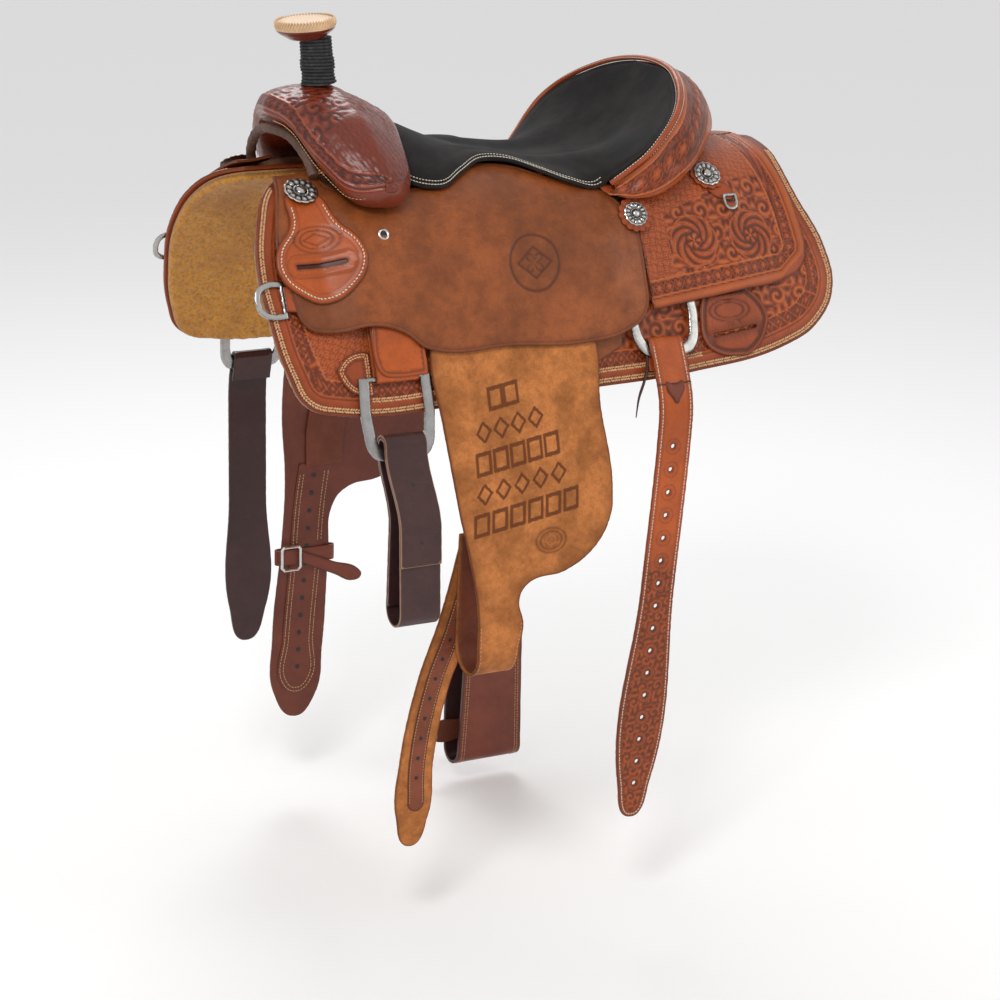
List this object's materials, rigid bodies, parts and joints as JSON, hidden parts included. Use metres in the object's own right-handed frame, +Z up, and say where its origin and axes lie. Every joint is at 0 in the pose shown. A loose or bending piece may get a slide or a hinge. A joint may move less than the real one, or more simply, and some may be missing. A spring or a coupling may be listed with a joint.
{
  "type": "western saddle",
  "caption": "Western roping saddle with wrapped horn, tooled skirts, fenders, rigging dees and hanging straps; stirrups not fitted.",
  "frame": {"origin": "middle plane, at the ridge line where the saddle's weight rests, mid-length of the seat", "axes": "-X toward the horn, +X toward the cantle, -Y the near (left) side, +Y the off side, +Z up"},
  "size_m": [0.8206, 0.5692, 1.14],
  "materials": {
    "saddle_leather": "waxed, scuffed",
    "tooled_leather": "tooled and oiled",
    "fork_leather": "tooled and polished",
    "fender_leather": "rough-out",
    "latigo_leather": "waxed",
    "strap_leather": "oiled",
    "suede": "suede",
    "fleece": "deep pile",
    "tree_wood": "bare",
    "steel": "satin",
    "silver": "polished",
    "rubber": "matte",
    "rawhide": "waxed"
  },
  "bodies": {
    "saddle": {"bar_near": "tree_wood", "bar_off": "tree_wood", "cantle": "tree_wood", "cantle_back": "tooled_leather", "cantle_binding": "tooled_leather", "fleece_near": "fleece", "fleece_off": "fleece", "fork": "tree_wood", "front_concho_near": "silver", "front_concho_off": "silver", "front_rigging_near": "saddle_leather", "front_rigging_off": "saddle_leather", "ground_seat": "saddle_leather", "gullet_rim": "strap_leather", "horn": "tree_wood", "horn_cap": "rawhide", "horn_wrap": "rubber", "latigo_keeper_near": "saddle_leather", "latigo_keeper_off": "saddle_leather", "rear_concho_near": "silver", "rear_concho_off": "silver", "rear_jockey_near": "tooled_leather", "rear_jockey_off": "tooled_leather", "rear_rigging_near": "saddle_leather", "rear_rigging_off": "saddle_leather", "rear_slot_plate_near": "saddle_leather", "rear_slot_plate_off": "saddle_leather", "rigging_strap_near": "saddle_leather", "rigging_strap_off": "saddle_leather", "seat_cover": "suede", "seat_jockey_near": "saddle_leather", "seat_jockey_off": "saddle_leather", "side_concho_near": "silver", "side_concho_off": "silver", "skirt_near": "tooled_leather", "skirt_off": "tooled_leather", "swell_cover": "fork_leather"},
    "fender_near": {"fender_near": "fender_leather", "stirrup_leather_near": "strap_leather", "stirrup_tail_near": "fender_leather"},
    "fender_off": {"fender_off": "fender_leather", "stirrup_leather_off": "strap_leather", "hobble_strap": "strap_leather", "hobble_buckle": "silver", "hobble_end": "strap_leather"},
    "front_dee_near": {"front_dee_near": "steel"},
    "latigo": {"latigo": "latigo_leather"},
    "front_dee_off": {"front_dee_off": "steel"},
    "off_billet": {"off_billet": "latigo_leather"},
    "rear_dee_near": {"rear_dee_near": "silver"},
    "rear_billet_near": {"rear_billet_near": "tooled_leather"},
    "rear_dee_off": {"rear_dee_off": "silver"},
    "rear_billet_off": {"rear_billet_off": "strap_leather", "flank_cinch": "strap_leather", "cinch_tab": "strap_leather"},
    "cinch_ring": {"cinch_ring": "silver"},
    "breast_dee_near": {"breast_dee_near": "silver"},
    "breast_dee_off": {"breast_dee_off": "silver"},
    "string_dee_near": {"string_dee_near": "silver"},
    "string_dee_off": {"string_dee_off": "silver"}
  },
  "joints": [
    {"name": "fender_near_swing", "type": "hinge", "parent": "saddle", "child": "fender_near", "pos_m": [-0.065, -0.17975, -0.05845], "axis": [0, -0.9504, 0.3112], "range_deg": [-1.5, 11]},
    {"name": "front_dee_near_hinge", "type": "hinge", "parent": "saddle", "child": "front_dee_near", "pos_m": [-0.2245, -0.21553, -0.18769], "axis": [-1, 0, 0], "range_deg": [0, 45]},
    {"name": "latigo_swing", "type": "hinge", "parent": "front_dee_near", "child": "latigo", "pos_m": [-0.2245, -0.23966, -0.27776], "axis": [-1, 0, 0], "range_deg": [-6, 6]},
    {"name": "rear_dee_near_hinge", "type": "hinge", "parent": "saddle", "child": "rear_dee_near", "pos_m": [0.16, -0.18996, -0.12467], "axis": [-1, 0, 0], "range_deg": [0, 5]},
    {"name": "rear_billet_near_swing", "type": "hinge", "parent": "rear_dee_near", "child": "rear_billet_near", "pos_m": [0.16, -0.22152, -0.18938], "axis": [-1, 0, 0], "range_deg": [-1, 5]},
    {"name": "breast_dee_near_hinge", "type": "hinge", "parent": "saddle", "child": "breast_dee_near", "pos_m": [-0.352, -0.17166, -0.0905], "axis": [0, 0.4524, 0.8918], "range_deg": [0, 60]},
    {"name": "string_dee_near_hinge", "type": "hinge", "parent": "saddle", "child": "string_dee_near", "pos_m": [0.289, -0.1424, -0.01084], "axis": [-1, 0, 0], "range_deg": [0, 60]},
    {"name": "fender_off_swing", "type": "hinge", "parent": "saddle", "child": "fender_off", "pos_m": [-0.065, 0.17975, -0.05845], "axis": [0, -0.9504, -0.3112], "range_deg": [-0.5, 12]},
    {"name": "front_dee_off_hinge", "type": "hinge", "parent": "saddle", "child": "front_dee_off", "pos_m": [-0.2245, 0.21553, -0.18769], "axis": [1, 0, 0], "range_deg": [0, 45]},
    {"name": "off_billet_swing", "type": "hinge", "parent": "front_dee_off", "child": "off_billet", "pos_m": [-0.2245, 0.23966, -0.27776], "axis": [1, 0, 0], "range_deg": [-5, 5]},
    {"name": "rear_dee_off_hinge", "type": "hinge", "parent": "saddle", "child": "rear_dee_off", "pos_m": [0.16, 0.18996, -0.12467], "axis": [1, 0, 0], "range_deg": [0, 5]},
    {"name": "rear_billet_off_swing", "type": "hinge", "parent": "rear_dee_off", "child": "rear_billet_off", "pos_m": [0.16, 0.22152, -0.18938], "axis": [1, 0, 0], "range_deg": [-1, 5]},
    {"name": "breast_dee_off_hinge", "type": "hinge", "parent": "saddle", "child": "breast_dee_off", "pos_m": [-0.352, 0.17166, -0.0905], "axis": [0, 0.4524, -0.8918], "range_deg": [0, 60]},
    {"name": "string_dee_off_hinge", "type": "hinge", "parent": "saddle", "child": "string_dee_off", "pos_m": [0.289, 0.1424, -0.01084], "axis": [1, 0, 0], "range_deg": [0, 60]},
    {"name": "cinch_ring_swing", "type": "hinge", "parent": "rear_billet_off", "child": "cinch_ring", "pos_m": [0.07, 0.24727, -0.871], "axis": [-0.8, 0, 0.6], "range_deg": [-25, 25]}
  ]
}
